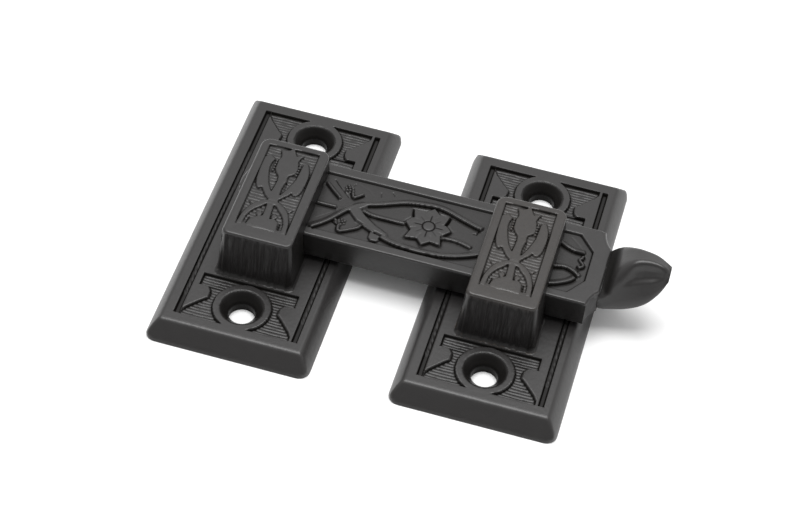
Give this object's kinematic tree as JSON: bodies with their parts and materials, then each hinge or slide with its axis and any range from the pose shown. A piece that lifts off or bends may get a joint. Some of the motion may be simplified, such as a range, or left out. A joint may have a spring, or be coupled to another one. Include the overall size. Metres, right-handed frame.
{
  "type": "shutter bar latch",
  "caption": "Surface shutter bar latch: a pivoting bar with a thumb lever swings into a hook on a matching keeper plate.",
  "frame": {"origin": "centre of the pivot plate's two screw holes, on its flat back", "axes": "+X from the pivot plate to the keeper plate along the bar, +Y the open side of the hooks, towards which the bar lifts, +Z out of the mounting surface"},
  "size_m": [0.082, 0.0594, 0.0145],
  "materials": {
    "plate_metal": "matt blackened bronze, cast, lightly rubbed edges",
    "bar_metal": "matt blackened bronze, cast, lightly rubbed edges",
    "screw_steel": "dull zinc-plated steel",
    "washer_brass": "dull brass"
  },
  "bodies": {
    "pivot": {"pivot_plate": "plate_metal", "pivot_screw": "screw_steel", "pivot_washer": "washer_brass"},
    "bar": {"shutter_bar": "bar_metal"},
    "keeper": {"keeper_plate": "plate_metal"}
  },
  "joints": [
    {"name": "bar_swing", "type": "hinge", "parent": "pivot", "child": "bar", "pos_m": [0.001, 0.00175, 0.007], "axis": [0, 0, 1], "range_deg": [0, 180]},
    {"name": "keeper_slide", "type": "slide", "parent": "pivot", "child": "keeper", "axis": [0, -1, 0], "range_m": [0, 0.04]}
  ]
}
